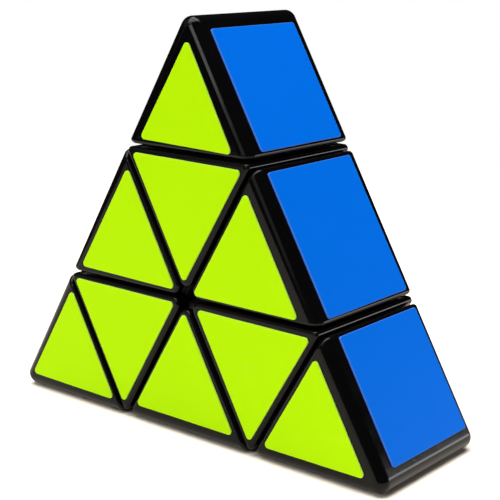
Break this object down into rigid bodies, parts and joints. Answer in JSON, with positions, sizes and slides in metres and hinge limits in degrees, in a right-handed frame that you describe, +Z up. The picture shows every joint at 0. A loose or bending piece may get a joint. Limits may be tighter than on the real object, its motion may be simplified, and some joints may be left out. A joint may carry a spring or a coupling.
{
  "type": "pyramid twisty puzzle",
  "caption": "Flat triangular twisty puzzle: one layer of black triangular blocks with coloured stickers, turning about three axes, with turning tips.",
  "frame": {"origin": "on the surface the puzzle stands on, under the middle of its bottom side, midway between front and back", "axes": "+Z up along the top layer's turning axis, +X to the viewer's right along the bottom side, +Y from the front face to the back face"},
  "size_m": [0.0858, 0.03, 0.0752],
  "materials": {
    "black_plastic": "glossy moulded black plastic",
    "inner_plastic": "moulded dark grey plastic",
    "screw_steel": "zinc plated steel",
    "front_sticker": "satin vinyl film, lime green",
    "back_sticker": "satin vinyl film, yellow",
    "right_side_sticker": "satin vinyl film, blue",
    "left_side_sticker": "satin vinyl film, red",
    "bottom_side_sticker": "satin vinyl film, orange"
  },
  "bodies": {
    "core": {"core": "inner_plastic", "core_screw_left": "screw_steel", "core_screw_right": "screw_steel", "core_screw_top": "screw_steel", "core_washer_left": "screw_steel", "core_washer_right": "screw_steel", "core_washer_top": "screw_steel"},
    "centre_top": {"centre_back_sticker_top": "back_sticker", "centre_cap_top": "inner_plastic", "centre_front_sticker_top": "front_sticker", "centre_shell_top": "black_plastic", "core_spring_top": "screw_steel", "tip_screw_top": "screw_steel"},
    "tip_top": {"tip_back_sticker_top": "back_sticker", "tip_base_top": "inner_plastic", "tip_front_sticker_top": "front_sticker", "tip_shell_top": "black_plastic", "tip_side_sticker_left_top": "left_side_sticker", "tip_side_sticker_right_top": "right_side_sticker"},
    "centre_left": {"centre_back_sticker_left": "back_sticker", "centre_cap_left": "inner_plastic", "centre_front_sticker_left": "front_sticker", "centre_shell_left": "black_plastic", "core_spring_left": "screw_steel", "tip_screw_left": "screw_steel"},
    "tip_left": {"tip_back_sticker_left": "back_sticker", "tip_base_left": "inner_plastic", "tip_front_sticker_left": "front_sticker", "tip_shell_left": "black_plastic", "tip_side_sticker_bottom_left": "bottom_side_sticker", "tip_side_sticker_left_left": "left_side_sticker"},
    "centre_right": {"centre_back_sticker_right": "back_sticker", "centre_cap_right": "inner_plastic", "centre_front_sticker_right": "front_sticker", "centre_shell_right": "black_plastic", "core_spring_right": "screw_steel", "tip_screw_right": "screw_steel"},
    "tip_right": {"tip_back_sticker_right": "back_sticker", "tip_base_right": "inner_plastic", "tip_front_sticker_right": "front_sticker", "tip_shell_right": "black_plastic", "tip_side_sticker_bottom_right": "bottom_side_sticker", "tip_side_sticker_right_right": "right_side_sticker"},
    "edge_left": {"edge_back_sticker_left": "back_sticker", "edge_front_sticker_left": "front_sticker", "edge_liner_left": "inner_plastic", "edge_shell_left": "black_plastic", "edge_side_sticker_left": "left_side_sticker"},
    "edge_right": {"edge_back_sticker_right": "back_sticker", "edge_front_sticker_right": "front_sticker", "edge_liner_right": "inner_plastic", "edge_shell_right": "black_plastic", "edge_side_sticker_right": "right_side_sticker"},
    "edge_bottom": {"edge_back_sticker_bottom": "back_sticker", "edge_front_sticker_bottom": "front_sticker", "edge_liner_bottom": "inner_plastic", "edge_shell_bottom": "black_plastic", "edge_side_sticker_bottom": "bottom_side_sticker"}
  },
  "joints": [
    {"name": "layer_top", "type": "hinge", "parent": "core", "child": "centre_top", "pos_m": [0, 0, 0.02598], "axis": [0, 0, 1], "range_deg": [-180, 180]},
    {"name": "layer_left", "type": "hinge", "parent": "core", "child": "centre_left", "pos_m": [0, 0, 0.02598], "axis": [-0.866, 0, -0.5], "range_deg": [-180, 180]},
    {"name": "layer_right", "type": "hinge", "parent": "core", "child": "centre_right", "pos_m": [0, 0, 0.02598], "axis": [0.866, 0, -0.5], "range_deg": [-180, 180]},
    {"name": "edge_left_turn", "type": "hinge", "parent": "centre_top", "child": "edge_left", "pos_m": [0, 0, 0.02598], "axis": [-0.866, 0, -0.5], "range_deg": [-180, 180]},
    {"name": "edge_bottom_turn", "type": "hinge", "parent": "centre_left", "child": "edge_bottom", "pos_m": [0, 0, 0.02598], "axis": [0.866, 0, -0.5], "range_deg": [-180, 180]},
    {"name": "edge_right_turn", "type": "hinge", "parent": "centre_right", "child": "edge_right", "pos_m": [0, 0, 0.02598], "axis": [0, 0, 1], "range_deg": [-180, 180]},
    {"name": "tip_top_spin", "type": "hinge", "parent": "centre_top", "child": "tip_top", "pos_m": [0, 0, 0.02598], "axis": [0, 0, 1], "continuous": true},
    {"name": "tip_left_spin", "type": "hinge", "parent": "centre_left", "child": "tip_left", "pos_m": [0, 0, 0.02598], "axis": [-0.866, 0, -0.5], "continuous": true},
    {"name": "tip_right_spin", "type": "hinge", "parent": "centre_right", "child": "tip_right", "pos_m": [0, 0, 0.02598], "axis": [0.866, 0, -0.5], "continuous": true}
  ],
  "couplings": [
    {"joint": "edge_left_turn", "follows": "layer_left", "ratio": 1},
    {"joint": "edge_bottom_turn", "follows": "layer_right", "ratio": 1},
    {"joint": "edge_right_turn", "follows": "layer_top", "ratio": 1}
  ]
}
